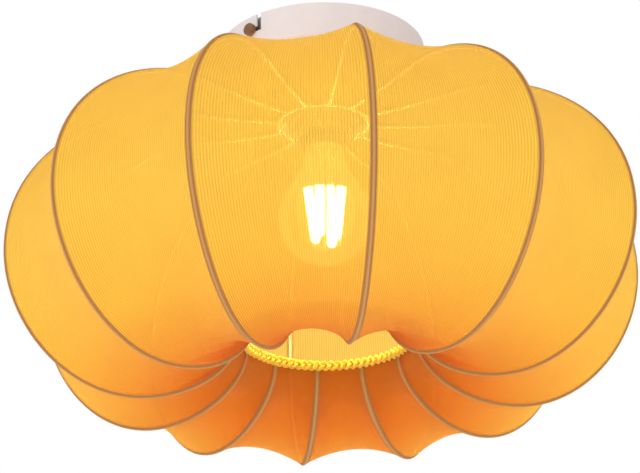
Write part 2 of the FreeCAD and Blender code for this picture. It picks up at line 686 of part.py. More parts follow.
def arc_pair(start, leave, end, arrive):
    """Two arcs with equal tangent lengths that join two points and keep the direction at each."""
    chord = end - start
    both = leave + arrive
    a = 2 * (1 - leave.dot(arrive))
    b = 2 * chord.dot(both)
    reach = (math.sqrt(b * b + 4 * a * chord.dot(chord)) - b) / (2 * a)
    meet = ((start + leave * reach) + (end - arrive * reach)) * 0.5
    return [Part.Arc(start, top_of_arc(start, leave, meet), meet),
            Part.Arc(meet, top_of_arc(end, -arrive, meet), end)]


def top_of_arc(point, direction, other):
    """Halfway along the arc that leaves one point in a given direction and ends at the other."""
    chord = other - point
    square = VECTOR(-direction.y, direction.x, 0)
    radius = chord.dot(chord) / (2 * chord.dot(square))
    centre = point + square * radius
    middle = (point + other) * 0.5 - centre
    middle.normalize()
    return centre + middle * abs(radius)


def rib_turn(index):
    """The rib's angle about Z, counted from -Y towards +X."""
    return number("rib_phase_deg") + 360.0 / number("rib_count") * index - 90


def make_ribs():
    """Bent spring-steel wires from the top ring out over the shoulder and under into the mouth ring."""
    for index in range(int(number("rib_count"))):
        body = new_body("rib_%02d" % (index + 1))
        path = sketch_on(body, "XZ_Plane", body.Name + "_path")
        for arcs in rib_arcs():
            for arc in arcs:
                path.addGeometry(arc)
        start = rib_quarters()[0].StartPoint
        section = sketch_on(body, "YZ_Plane", body.Name + "_section", measure(start.x))
        add_circle(section, 0, TOP_RING_HEIGHT, size("rib_wire") / 2)
        pipe = body.newObject("PartDesign::AdditivePipe", body.Name + "_pipe")
        pipe.Profile = section
        doc.recompute()
        pipe.Spine = (path, ["Edge%d" % (edge + 1) for edge in range(len(path.Shape.Edges))])
        body.Placement = FreeCAD.Placement(VECTOR(0, 0, 0), FreeCAD.Rotation(UP, rib_turn(index)))
        bind(body, ".Placement.Rotation.Angle",
             size("rib_phase_deg") + measure(360) / size("rib_count") * index - 90)


def make_rings():
    """Welded wire rings at the hub and the mouth, the pressed carrier, and the braid inside the mouth."""
    rings = [("top_ring", TOP_RING_RADIUS, RING_WIRE_RADIUS, TOP_RING_HEIGHT),
             ("mouth_ring", size("mouth_radius"), RING_WIRE_RADIUS, MOUTH_HEIGHT),
             ("mouth_braid", size("mouth_radius") - RING_WIRE_RADIUS - size("braid_thick") / 2,
              size("braid_thick") / 2, MOUTH_HEIGHT)]
    for label, radius, wire, height in rings:
        ring = doc.addObject("Part::Torus", label)
        bind(ring, "Radius1", radius)
        bind(ring, "Radius2", wire)
        bind(ring, ".Placement.Base.z", height)
        sub_part(ring, label)
    body = new_body("shade_carrier")
    plate = sketch_on(body, "XY_Plane", "carrier_plate", CARRIER_LOW)
    add_circle(plate, 0, 0, CARRIER_HOLE)
    add_circle(plate, 0, 0, CARRIER_HOLE + size("carrier_width"))
    pad(body, plate, size("carrier_wall"))
    lug = sketch_on(body, "XY_Plane", "carrier_lug", CARRIER_LOW)
    half = size("lug_width") / 2
    inner = CARRIER_HOLE + size("carrier_width") / 2
    add_outline(lug, [(inner, -half), (TOP_RING_RADIUS, -half), (TOP_RING_RADIUS, half), (inner, half)])
    arm = pad(body, lug, size("carrier_wall"))
    polar_pattern(body, arm, size("lug_count"))
    bore = THREAD_RADIUS + size("collar_gap")
    grip = bore + size("collar_wall")
    edge = size("collar_edge")
    low = CARRIER_LOW - size("collar_height")
    turned_body("shade_collar", [
        (bore, low), (grip - edge, low), (grip, low + edge), (grip, CARRIER_LOW - edge),
        (grip - edge, CARRIER_LOW), (bore, CARRIER_LOW)])


# ---------------------------------------------------------------- the shade's fabric
def smooth(share):
    return share * share * (3 - 2 * share)


def make_fabric():
    """Gores of taut fabric between the ribs, drawn in between them like a saddle."""
    sags = (0.0, number("sag_shoulder"), number("sag_equator"), number("sag_belly"), 0.0)
    stations = []
    for arcs, before, after in zip(rib_arcs(), sags, sags[1:]):
        whole = sum(arc.length() for arc in arcs)
        along = 0.0
        for arc in arcs:
            for step in range(2):
                place = arc.FirstParameter + (arc.LastParameter - arc.FirstParameter) * step / 2
                share = smooth((along + arc.length() * step / 2) / whole)
                drawn_in = before + (after - before) * share
                stations.append((arc.value(place), arc.tangent(place)[0], drawn_in))
            along += arc.length()
    below_braid = size("braid_thick") / 2 - RING_WIRE_RADIUS + size("weld_bite") + size("mouth_hem")
    first, last = rib_arcs()[0][0], rib_arcs()[-1][-1]
    start = first.parameterAtDistance(number("hub_hem"), first.FirstParameter)
    end = last.parameterAtDistance(-below_braid.number, last.LastParameter)
    stations[0] = (first.value(start), first.tangent(start)[0], 0.0)
    stations.append((last.value(end), last.tangent(end)[0], 0.0))

    half_gore = math.pi / number("rib_count")
    lift = number("rib_wire") / 2 * 1.2 + number("fabric_gap")
    columns = [-1, -0.86, -0.6, -0.3, 0, 0.3, 0.6, 0.86, 1]
    surfaces = []
    for offset in (lift, lift + number("fabric_wall")):
        grid = []
        for place, along, sag in stations:
            normal = VECTOR(-along.y, along.x, 0)
            grid.append([gore_point(place, normal, offset - sag * (1 - column ** 2), column, half_gore)
                         for column in columns])
        surface = Part.BSplineSurface()
        surface.interpolate(grid)
        surfaces.append(surface.toShape())
    walls = [Part.makeRuledSurface(inner, outer, 1)
             for inner, outer in zip(*[ordered_edges(surface) for surface in surfaces])]
    shell = Part.makeShell(surfaces + walls)
    shell.sewShape()
    gore = Part.makeSolid(shell)
    if gore.Volume < 0:
        gore.reverse()
    for index in range(int(number("rib_count"))):
        piece = gore.copy()
        piece.rotate(VECTOR(0, 0, 0), UP, rib_turn(index) + math.degrees(half_gore))
        plain_feature("fabric_gore_%02d" % (index + 1), piece)


def ordered_edges(surface):
    """The four boundary edges in a fixed order, so that two like surfaces pair up."""
    patch = surface.Faces[0].Surface
    first_u, last_u, first_v, last_v = patch.bounds()
    return [patch.uIso(first_u).toShape(first_v, last_v), patch.uIso(last_u).toShape(first_v, last_v),
            patch.vIso(first_v).toShape(first_u, last_u), patch.vIso(last_v).toShape(first_u, last_u)]


def gore_point(place, normal, offset, column, half_gore):
    """A point between two ribs: along the straight chord, then out or in along the rib's normal."""
    radius = place.x + normal.x * offset
    height = place.y + normal.y * offset
    edge_trim = number("fabric_gap") / 2
    across = column * (radius * math.sin(half_gore) - edge_trim)
    return VECTOR(radius * math.cos(half_gore), across, height)


make_ceiling_bar()
make_thumb_screws()
make_canopy()
make_nipple_set()
make_wiring()
make_lampholder()
make_bulb()
make_ribs()
make_rings()
make_fabric()
doc.recompute()

# ---------------------------------------------------------------- check, then write
for item in doc.Objects:
    if "Invalid" in item.State or "Error" in item.State:
        raise RuntimeError("%s did not build: %s" % (item.Label, item.State))
for part in SUB_PARTS:
    if part.Shape.isNull() or not part.Shape.isValid():
        raise RuntimeError("%s has no valid shape" % part.Label)
os.makedirs("parts", exist_ok=True)
for part in SUB_PARTS:
    part.Shape.exportStep("parts/%s.step" % part.Label)
print("%d sub-parts written" % len(SUB_PARTS))
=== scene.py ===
import math

import bpy
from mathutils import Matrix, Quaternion, Vector
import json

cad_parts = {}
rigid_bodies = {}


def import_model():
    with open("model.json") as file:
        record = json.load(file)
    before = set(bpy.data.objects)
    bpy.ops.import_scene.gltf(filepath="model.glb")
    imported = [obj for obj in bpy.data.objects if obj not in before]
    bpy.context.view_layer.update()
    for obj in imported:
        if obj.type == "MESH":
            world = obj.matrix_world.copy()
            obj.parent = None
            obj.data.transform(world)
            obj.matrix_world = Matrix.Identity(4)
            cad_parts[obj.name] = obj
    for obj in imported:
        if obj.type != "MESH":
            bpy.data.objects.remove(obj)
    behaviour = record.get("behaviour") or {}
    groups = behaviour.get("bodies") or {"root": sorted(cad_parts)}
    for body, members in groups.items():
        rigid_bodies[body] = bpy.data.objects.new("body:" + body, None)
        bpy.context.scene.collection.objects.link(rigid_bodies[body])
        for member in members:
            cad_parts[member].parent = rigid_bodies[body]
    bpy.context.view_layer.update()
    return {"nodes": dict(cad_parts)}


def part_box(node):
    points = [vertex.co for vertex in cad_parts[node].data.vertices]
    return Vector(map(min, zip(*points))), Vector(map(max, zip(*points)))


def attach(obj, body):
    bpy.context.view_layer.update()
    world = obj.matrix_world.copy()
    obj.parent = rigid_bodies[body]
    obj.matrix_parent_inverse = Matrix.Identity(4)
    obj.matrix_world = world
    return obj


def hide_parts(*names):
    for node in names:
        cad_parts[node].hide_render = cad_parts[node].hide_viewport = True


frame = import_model()
bpy.ops.object.select_all(action="DESELECT")

# ---------------------------------------------------------------- ceiling bar
# A strap of mild steel, folded down at both ends and plated with bright zinc. It is screwed to the ceiling, and
# the plating shows soft cloudy patches.


def linear(code):
    """A hex sRGB colour as the linear colour that a shader takes."""
    parts = [int(code[i:i + 2], 16) / 255 for i in (0, 2, 4)]
    return [c / 12.92 if c <= 0.04045 else ((c + 0.055) / 1.055) ** 2.4 for c in parts] + [1.0]


def add(tree, kind, inputs=(), **settings):
    """One shader node. An input is a number, a colour or another node's output."""
    made = tree.nodes.new("ShaderNode" + kind)
    for name, value in settings.items():
        setattr(made, name, value)
    for name, value in dict(inputs).items():
        if isinstance(value, bpy.types.NodeSocket):
            tree.links.new(value, made.inputs[name])
        else:
            made.inputs[name].default_value = value
    return made


def new_finish(name):
    """An empty material, its tree and its output."""
    finish = bpy.data.materials.new(name)
    finish.use_nodes = True
    finish.node_tree.nodes.clear()
    return finish, finish.node_tree, add(finish.node_tree, "OutputMaterial")


def surface_finish(name, dark, light, rough, grain, relief, metallic=0.0, **sockets):
    """A hard surface: two close colours in cloudy patches, with a grain of real size in gloss and relief."""
    finish, tree, output = new_finish(name)
    place = add(tree, "TexCoord").outputs["Object"]
    clouds = add(tree, "TexNoise", {"Vector": place, "Scale": 0.12 / grain, "Detail": 3.0})
    fine = add(tree, "TexNoise", {"Vector": place, "Scale": 1 / grain, "Detail": 2.0})
    tint = add(tree, "Mix", {0: clouds.outputs["Fac"], 6: linear(dark), 7: linear(light)}, data_type="RGBA")
    gloss = add(tree, "MapRange", {"Value": fine.outputs["Fac"],
                                   "To Min": rough * 0.8, "To Max": rough * 1.25})
    bumps = add(tree, "Bump", {"Height": fine.outputs["Fac"], "Distance": relief, "Strength": 0.6})
    skin = add(tree, "BsdfPrincipled", {
        "Base Color": tint.outputs[2], "Roughness": gloss.outputs[0], "Normal": bumps.outputs[0],
        "Metallic": metallic, **sockets})
    tree.links.new(skin.outputs[0], output.inputs["Surface"])
    return finish


def paint(finish, *nodes):
    """Gives CAD nodes a finish in place of their plain one."""
    for node in nodes:
        slots = frame["nodes"][node].material_slots
        for slot in slots:
            slot.material = finish


zinc_plate = surface_finish("bright_zinc_plate", "a9abad", "cfd1d3", 0.32, 0.0006, 0.00002, metallic=1.0)
paint(zinc_plate, "ceiling_bar")

# ---------------------------------------------------------------- thumb screws and washers
# Knurled brass screws with a coppery lacquer, one at each end of the bar. They carry the canopy, and each has a
# small nickel-plated washer under its head.
lacquered_brass = surface_finish("lacquered_brass", "8a5a3c", "c79a72", 0.3, 0.0005, 0.00003, metallic=1.0)
paint(lacquered_brass, "left_thumb_screw", "right_thumb_screw")
nickel_plate = surface_finish("nickel_plate", "a8a39a", "cbc6bc", 0.26, 0.0005, 0.00001, metallic=1.0)
paint(nickel_plate, "left_washer", "right_washer")

# ---------------------------------------------------------------- canopy
# A pressed steel pan in a warm white powder coat. The coat flows out nearly smooth, with a faint orange peel
# about a millimetre across, and it is satin rather than glossy.
powder_coat = surface_finish("white_powder_coat", "eee6ea", "f6eff2", 0.42, 0.0011, 0.00003)
paint(powder_coat, "canopy")

# ---------------------------------------------------------------- nipple, nut and washers
# The threaded steel tube that joins canopy and lampholder, with its hexagon nut and lock washer. All are passed
# through yellow chromate, which leaves a pale brassy tint.
yellow_zinc = surface_finish("yellow_chromate_zinc", "b09a5c", "cdbb80", 0.34, 0.0005, 0.00002, metallic=1.0)
paint(yellow_zinc, "nipple", "nipple_nut", "lock_washer", "earth_stud")

# ---------------------------------------------------------------- wiring
# A moulded nylon terminal block with PVC-covered wires: brown for live, blue for neutral, and green with yellow
# for earth. The plastic is slightly glossy from its mould.
paint(surface_finish("moulded_nylon", "e9e7e0", "f4f2ec", 0.45, 0.0008, 0.00001), "terminal_block")
paint(surface_finish("brown_pvc", "5a3020", "6d3d29", 0.38, 0.0008, 0.00001), "live_wire")
paint(surface_finish("blue_pvc", "1f57a6", "2b6cc0", 0.38, 0.0008, 0.00001), "neutral_wire")
paint(surface_finish("green_yellow_pvc", "3f8a35", "c8c23a", 0.38, 0.0040, 0.00001), "earth_wire")

# ---------------------------------------------------------------- lampholder
# A white phenolic cap and sleeve round a glazed porcelain core, with a brass screw shell and a sprung brass
# contact inside. Phenolic keeps a dull even gloss, porcelain a wet one.
phenolic = surface_finish("white_phenolic", "dedad2", "ece9e2", 0.36, 0.0009, 0.00001)
paint(phenolic, "holder_cap", "holder_sleeve")
paint(surface_finish("glazed_porcelain", "efece4", "f8f6f0", 0.12, 0.0016, 0.00001), "holder_core")
brass = surface_finish("pressed_brass", "b08a3c", "d8b566", 0.28, 0.0005, 0.00002, metallic=1.0)
paint(brass, "socket_shell", "socket_contact")

# ---------------------------------------------------------------- carrier and collar
# The carrier is a stamped ring with three lugs, powder coated white. The ring collar below it is moulded from
# the lampholder's phenolic and clamps it.
paint(powder_coat, "shade_carrier")
paint(phenolic, "shade_collar")

# ---------------------------------------------------------------- bulb cap and contact
# A nickel-plated brass cap with a rolled thread, a black glass insulator, and a soldered tip.
paint(nickel_plate, "bulb_cap")
paint(surface_finish("black_vitrite", "101012", "1c1c20", 0.16, 0.0009, 0.00001), "bulb_insulator")
paint(surface_finish("solder", "8f9094", "b4b5b8", 0.35, 0.0006, 0.00003, metallic=1.0), "bulb_contact")
paint(nickel_plate, "bulb_leads")

# ---------------------------------------------------------------- bulb glass and stem
# Clear blown glass a little under a millimetre thick. It shows as a bright edge and a few reflections, and what
# is behind it stays in view.


def clear_glass(name, tint, edge, painted_glow):
    """Glass that shows what is behind it, with a bright rim, and a painted glow that it emits itself."""
    finish, tree, output = new_finish(name)
    clear = add(tree, "BsdfTransparent", {"Color": linear(tint)})
    gloss = add(tree, "BsdfGlossy", {"Color": linear("ffffff"), "Roughness": 0.03})
    rim = add(tree, "LayerWeight", {"Blend": edge})
    both = add(tree, "MixShader", {0: rim.outputs["Fresnel"], 1: clear.outputs[0], 2: gloss.outputs[0]})
    # painted glow: the glass itself emits a little warm light
    haze = add(tree, "Emission", {"Color": linear("ffdc94"), "Strength": painted_glow})
    lit = add(tree, "AddShader", {0: both.outputs[0], 1: haze.outputs[0]})
    tree.links.new(lit.outputs[0], output.inputs["Surface"])
    return finish


paint(clear_glass("blown_glass", "fffdf8", 0.2, 0.3), "bulb_glass")
paint(clear_glass("stem_glass", "f8faf8", 0.4, 0.2), "bulb_stem")

# ---------------------------------------------------------------- filaments
# Strips of small LED chips in a warm phosphor gel. Lit, they are far brighter than anything round them. A
# painted glow is added round each strip and round all of them, so a strip looks thick and almost white.
# GLOW_REACH and HAZE_REACH size the painted glow: see-through shells that emit light round the strips
GLOW_REACH = 0.0031             # radius of the glow round one strip
HAZE_REACH = (0.019, 0.0275)    # half width and half height of the fainter glow round all of them
STRIPS = 4
FIRST_STRIP = 20                # degrees round the stem
STRIP_SECTOR = 0.72             # cosine of the angle within which all of one strip's points lie
ROUNDING = 0.95                 # of the glow's radius, at each end of a strip

finish, tree, output = new_finish("lit_phosphor_gel")
gel = add(tree, "Emission", {"Color": linear("ffe6b4"), "Strength": 70.0})
tree.links.new(gel.outputs[0], output.inputs["Surface"])
paint(finish, "bulb_filaments")

strip_points = [Vector(vertex.co) for vertex in frame["nodes"]["bulb_filaments"].data.vertices]
strip_low, strip_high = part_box("bulb_filaments")
strip_middle = (strip_low.z + strip_high.z) / 2
for strip in range(STRIPS):
    facing = math.radians(FIRST_STRIP + 360 / STRIPS * strip)
    own = [p for p in strip_points
           if p.x * math.cos(facing) + p.y * math.sin(facing) > STRIP_SECTOR * p.xy.length]
    heads = [p for p in own if p.z > strip_middle]
    feet = [p for p in own if p.z < strip_middle]
    head, foot = sum(heads, Vector()) / len(heads), sum(feet, Vector()) / len(feet)
    bpy.ops.mesh.primitive_cylinder_add(vertices=16, radius=GLOW_REACH,
                                        depth=(head - foot).length + GLOW_REACH,
                                        location=(head + foot) / 2,
                                        rotation=(head - foot).to_track_quat("Z", "Y").to_euler())
    round_end = bpy.context.object.modifiers.new("round_end", "BEVEL")
    round_end.width = GLOW_REACH * ROUNDING
    round_end.segments = 5
    round_end.limit_method = "ANGLE"
    bpy.ops.object.modifier_apply(modifier=round_end.name)
    bpy.context.object.name = "filament_glow"
for strip in bpy.data.objects:
    strip.select_set(strip.name.startswith("filament_glow"))
bpy.ops.object.join()
painted_strip_glow = bpy.context.object
bpy.ops.object.transform_apply(location=True, rotation=True, scale=True)
bpy.ops.object.shade_smooth()
bpy.ops.object.select_all(action="DESELECT")

bpy.ops.mesh.primitive_uv_sphere_add(segments=32, ring_count=20, radius=HAZE_REACH[0],
                                     location=(0, 0, strip_middle))
painted_haze_glow = bpy.context.object
painted_haze_glow.name = "filament_painted_haze"
painted_haze_glow.scale.z = HAZE_REACH[1] / HAZE_REACH[0]
bpy.ops.object.transform_apply(location=True, rotation=True, scale=True)
bpy.ops.object.shade_smooth()
bpy.ops.object.select_all(action="DESELECT")

# painted glow: transparent shells that emit round each strip and round all of them
for piece, colour, strength in ((painted_strip_glow, "fff0d2", 26.0), (painted_haze_glow, "ffdc8c", 0.55)):
    finish, tree, output = new_finish("painted_glow")
    clear = add(tree, "BsdfTransparent", {"Color": linear("ffffff")})
    halo = add(tree, "Emission", {"Color": linear(colour), "Strength": strength})
    both = add(tree, "AddShader", {0: clear.outputs[0], 1: halo.outputs[0]})
    tree.links.new(both.outputs[0], output.inputs["Surface"])
    piece.data.materials.append(finish)
    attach(piece, "bulb")

# ---------------------------------------------------------------- wire frame
# Spring steel wires welded to two rings and dipped white, so that they don't rust through the fabric.
dipped_wire = surface_finish("white_dipped_wire", "efe3cf", "f8efe0", 0.6, 0.0009, 0.00002)
ribs = sorted(name for name in frame["nodes"] if name.startswith("rib_"))
paint(dipped_wire, "top_ring", "mouth_ring", *ribs)

# ---------------------------------------------------------------- shade fabric
# One tube of finely ribbed stretch knit pulled over the wires and glued along each. Between two wires it is
# drawn in, so every panel is a shallow saddle. Light from the bulb passes through it, and each wire blocks some.
SHOULDER = (0.100, -0.0475)     # radius and height of the wire's highest point
EQUATOR = (0.198, -0.144)       # its widest
BELLY = (0.116, -0.239)         # its lowest
FULLNESS = [(0.60, 0.28), (0.34, 0.70), (0.49, 0.55), (0.55, 0.55)]  # of the four bends between, at each end
HEM = 0.0024                    # the fabric starts this far from the top ring's wire
ROWS = 26                       # of faces in one bend
SAGS = (0.0, 0.0055, 0.0085, 0.0085, 0.0)   # how far the middle of a panel is drawn in, at the bends' ends
LIP_SAG = 0.0075                # and how much further halfway up the last bend, inside the lip
LIFT = 0.0018                   # from the wire's centreline to the fabric's inner face over it
GLUE_RIDGE = 0.0003             # the fabric stands up by this much over the wire's glue line
GLUE_SPREAD = 0.0016            # and fades away over this distance to each side
THICKNESS = 0.0004              # of the cloth
# places across half a panel, from its middle towards the wire, closer together where the glue line rises
COLUMNS = (0.0, 0.12, 0.25, 0.38, 0.5, 0.62, 0.73, 0.82, 0.89, 0.935, 0.962, 0.98, 0.992)
KNIT_RIBS = 62                  # in one panel
STITCH = 0.0026                 # length of the stitches that a knit rib is made of

top_low, top_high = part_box("top_ring")
ring_low, ring_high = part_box("mouth_ring")
ring_wire = (ring_high.z - ring_low.z) / 2
hub_start = (top_high.x, (top_low.z + top_high.z) / 2)
mouth_end = (ring_high.x - ring_wire, (ring_low.z + ring_high.z) / 2)


def bend_point(share, start, end, leave, arrive, fullness):
    """A point of a bend, and the direction there: a curve that leaves level or upright and arrives likewise."""
    across, up = end[0] - start[0], end[1] - start[1]
    first, last = fullness
    points = [
        Vector(start),
        Vector((start[0] + first * across * leave, start[1] + first * up * (1 - leave))),
        Vector((end[0] - last * across * arrive, end[1] - last * up * (1 - arrive))),
        Vector(end),
    ]
    rest = 1 - share
    place = (points[0] * rest ** 3 + points[1] * 3 * rest ** 2 * share
             + points[2] * 3 * rest * share ** 2 + points[3] * share ** 3)
    along = ((points[1] - points[0]) * rest ** 2 + (points[2] - points[1]) * 2 * rest * share
             + (points[3] - points[2]) * share ** 2)
    return place, along.normalized()


corners = [hub_start, SHOULDER, EQUATOR, BELLY, mouth_end]
level_at = [1, 1, 0, 1, 0]      # whether the wire runs level at a corner, or upright
stations = []
for bend in range(4):
    for row in range(ROWS + (bend == 3)):
        share = row / ROWS
        place, along = bend_point(share, corners[bend], corners[bend + 1],
                                  level_at[bend], level_at[bend + 1], FULLNESS[bend])
        ease = share * share * (3 - 2 * share)
        sag = SAGS[bend] + (SAGS[bend + 1] - SAGS[bend]) * ease
        if bend == 3:
            sag += LIP_SAG * math.sin(math.pi * share) ** 2
        stations.append((place, along, sag))

wire_points = [vertex.co for vertex in frame["nodes"]["rib_01"].data.vertices]
wire_middle = sum(wire_points, Vector()) / len(wire_points)
first_turn = math.atan2(wire_middle.y, wire_middle.x)
half_panel = math.pi / len(ribs)
columns = [-c for c in reversed(COLUMNS[1:])] + list(COLUMNS) + [1.0]
around = len(columns) * len(ribs)

vertices, gaps, uvs = [], [], []
travelled = 0.0
before = stations[0][0]
for place, along, sag in stations:
    travelled += (place - before).length
    before = place
    for panel in range(len(ribs)):
        turn = first_turn + half_panel * (2 * panel + 1)
        chord = place.x * math.sin(half_panel)
        for column in columns:
            gap = (1 - abs(column)) * chord
            ridge = GLUE_RIDGE * math.exp(-(gap / GLUE_SPREAD) ** 2)
            out = LIFT + ridge - sag * (1 - column ** 2)
            radius = place.x - along.y * out
            height = place.y + along.x * out
            side = column * radius * math.sin(half_panel)
            depth = radius * math.cos(half_panel)
            vertices.append((depth * math.cos(turn) - side * math.sin(turn),
                             depth * math.sin(turn) + side * math.cos(turn), height))
            gaps.append(gap)
            uvs.append((panel + 0.5 + column / 2, travelled))

faces, corners_uv = [], []
for row in range(len(stations) - 1):
    for step in range(around):
        following = (step + 1) % around
        quad = (row * around + step, (row + 1) * around + step,
                (row + 1) * around + following, row * around + following)
        faces.append(quad)
        for index in quad:
            u, v = uvs[index]
            if following == 0 and index % around == 0:
                u += len(ribs)
            corners_uv.append((u, v / travelled))
mesh = bpy.data.meshes.new("shade_fabric")
mesh.from_pydata(vertices, [], faces)
layer = mesh.uv_layers.new(name="knit")
for corner, uv in zip(layer.data, corners_uv):
    corner.uv = uv
from_wire = mesh.attributes.new("from_wire", "FLOAT", "POINT")
from_wire.data.foreach_set("value", gaps)
mesh.polygons.foreach_set("use_smooth", [True] * len(mesh.polygons))
fabric = bpy.data.objects.new("shade_fabric", mesh)
bpy.context.collection.objects.link(fabric)
bpy.context.view_layer.objects.active = fabric
cloth_wall = fabric.modifiers.new("thickness", "SOLIDIFY")
cloth_wall.thickness = THICKNESS
cloth_wall.offset = 1.0
bpy.ops.object.modifier_apply(modifier=cloth_wall.name)

# Most of the cloth's glow from the bulb is painted as emission, and so are the wires' shadows in it and the
# shade towards the mouth.
finish, tree, output = new_finish("ribbed_stretch_knit")
knit = add(tree, "UVMap", uv_map="knit").outputs[0]
knit_parts = add(tree, "SeparateXYZ", {0: knit})
# painted glow of the bulb's light through the cloth, given as emission from the hub to the mouth: golden over
# the bulb, painted shade in deep orange towards the mouth
lit = add(tree, "ValToRGB", {"Fac": knit_parts.outputs[1]})
lit.color_ramp.interpolation = "B_SPLINE"
painted_glow_colours = [(0.0, "ccaa48"), (0.22, "d2b250"), (0.42, "d8b650"), (0.56, "e2c85a"),
               (0.70, "eeb048"), (0.80, "d08032"), (0.89, "d04e1a"), (1.0, "7c2000")]
for position, code in painted_glow_colours[1:-1]:
    lit.color_ramp.elements.new(position).color = linear(code)
lit.color_ramp.elements[0].color = linear(painted_glow_colours[0][1])
lit.color_ramp.elements[-1].color = linear(painted_glow_colours[-1][1])
# each knit rib is a row of stitches, and no row is in step with the next
across_ribs = add(tree, "Math", {0: knit_parts.outputs[0], 1: float(KNIT_RIBS)},
                  operation="MULTIPLY").outputs[0]
rib_wave = add(tree, "Math", {0: across_ribs, 1: 2 * math.pi}, operation="MULTIPLY")
rib_wave = add(tree, "Math", {0: rib_wave.outputs[0]}, operation="COSINE")
rib_number = add(tree, "Math", {0: across_ribs}, operation="ROUND")
start_of_row = add(tree, "TexWhiteNoise", {"W": rib_number.outputs[0]}, noise_dimensions="1D")
stitches = add(tree, "Math", {0: knit_parts.outputs[1], 1: travelled / STITCH, 2: start_of_row.outputs[0]},
               operation="MULTIPLY_ADD")
stitches = add(tree, "Math", {0: stitches.outputs[0], 1: 2 * math.pi}, operation="MULTIPLY")
stitches = add(tree, "Math", {0: stitches.outputs[0]}, operation="COSINE")
stitches = add(tree, "MapRange", {"Value": stitches.outputs[0], "From Min": -1.0,
                                  "To Min": 0.55, "To Max": 1.0})
thread = add(tree, "Math", {0: rib_wave.outputs[0], 1: stitches.outputs[0]}, operation="MULTIPLY")
place = add(tree, "TexCoord").outputs["Object"]
clouds = add(tree, "TexNoise", {"Vector": place, "Scale": 26.0, "Detail": 2.0})
thin = add(tree, "MapRange", {"Value": thread.outputs[0], "From Min": -1.0, "To Min": 0.7, "To Max": 1.3})
patchy = add(tree, "MapRange", {"Value": clouds.outputs["Fac"], "From Min": 0.3, "From Max": 0.7,
                                "To Min": 0.95, "To Max": 1.05})
# painted shadow of the wire in the lit cloth, with a painted highlight lighter along its middle
gap = add(tree, "Attribute", attribute_name="from_wire").outputs["Fac"]
clear_of_wire = add(tree, "MapRange", {"Value": gap, "From Min": 0.0014, "From Max": 0.0024},
                    interpolation_type="SMOOTHSTEP").outputs[0]
off_painted_highlight = add(tree, "MapRange", {"Value": gap, "From Min": 0.0003, "From Max": 0.0011},
               interpolation_type="SMOOTHSTEP").outputs[0]
painted_wire_shadow = add(tree, "Mix", {0: off_painted_highlight, 6: linear("ac8450"), 7: linear("7a5026")}, data_type="RGBA")
painted_glow_colour = add(tree, "Mix", {0: clear_of_wire, 6: painted_wire_shadow.outputs[2], 7: lit.outputs[0]},
                  data_type="RGBA")
strength = add(tree, "Math", {0: thin.outputs[0], 1: patchy.outputs[0]}, operation="MULTIPLY")
strength = add(tree, "Math", {0: strength.outputs[0], 1: 0.92}, operation="MULTIPLY")
relief = add(tree, "Bump", {"Height": thread.outputs[0], "Distance": 0.0003, "Strength": 0.6})
# painted shade in the base colour: redder and darker towards the mouth, where the fabric turns in
painted_underside_shade = add(tree, "MapRange", {"Value": knit_parts.outputs[1], "From Min": 0.68, "From Max": 0.93},
           interpolation_type="SMOOTHSTEP")
painted_underside_shade = add(tree, "Mix", {0: painted_underside_shade.outputs[0], 6: linear("9c8630"), 7: linear("984c1e")}, data_type="RGBA")
# over each wire the base colour is a darker tan: painted shadow of the wire
painted_shade_base = add(tree, "Mix", {0: clear_of_wire, 6: linear("96704a"), 7: painted_underside_shade.outputs[2]}, data_type="RGBA")
cloth = add(tree, "BsdfPrincipled", {
    "Base Color": painted_shade_base.outputs[2], "Roughness": 0.85, "Sheen Weight": 0.12, "Sheen Roughness": 0.4,
    "Specular IOR Level": 0.2, "Normal": relief.outputs[0],
    "Emission Color": painted_glow_colour.outputs[2], "Emission Strength": strength.outputs[0]})
through = add(tree, "BsdfTranslucent", {"Color": linear("dcb040"), "Normal": relief.outputs[0]})
woven = add(tree, "MixShader", {0: 0.3, 1: cloth.outputs[0], 2: through.outputs[0]})
open_mesh = add(tree, "BsdfTransparent", {"Color": linear("fff0c8")})
openness = add(tree, "MapRange", {"Value": clear_of_wire, "To Max": 0.34})
sheer = add(tree, "MixShader", {0: openness.outputs[0], 1: woven.outputs[0], 2: open_mesh.outputs[0]})
tree.links.new(sheer.outputs[0], output.inputs["Surface"])
mesh.materials.append(finish)

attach(fabric, "shade")
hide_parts(*[name for name in frame["nodes"] if name.startswith("fabric_gore_")])

# ---------------------------------------------------------------- mouth braid
# Three thick mercerised cotton strands plaited into a flat cord and sewn round the inside of the mouth ring,
# where it hides the fabric's edge.
STRANDS = 3
STRAND = 0.00155                # radius of a strand
PLAITS = 25                     # whole turns of the plait round the ring
SWING = 0.0019                  # up and down
WEAVE = 0.0012                  # in and out
STEPS = 24                      # in one turn of the plait

braid_low, braid_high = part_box("mouth_braid")
braid_radius = braid_high.x - (braid_high.z - braid_low.z) / 2
braid_height = (braid_low.z + braid_high.z) / 2
one_turn = 2 * math.pi * braid_radius / PLAITS


def strand_place(strand, step):
    """Where a strand of the straight plait runs: a figure of eight, a third of a turn behind the last one."""
    phase = 2 * math.pi * (step / STEPS + strand / STRANDS)
    along = one_turn * (step / STEPS - PLAITS / 2)
    return Vector((along, WEAVE * math.sin(2 * phase), SWING * math.sin(phase)))


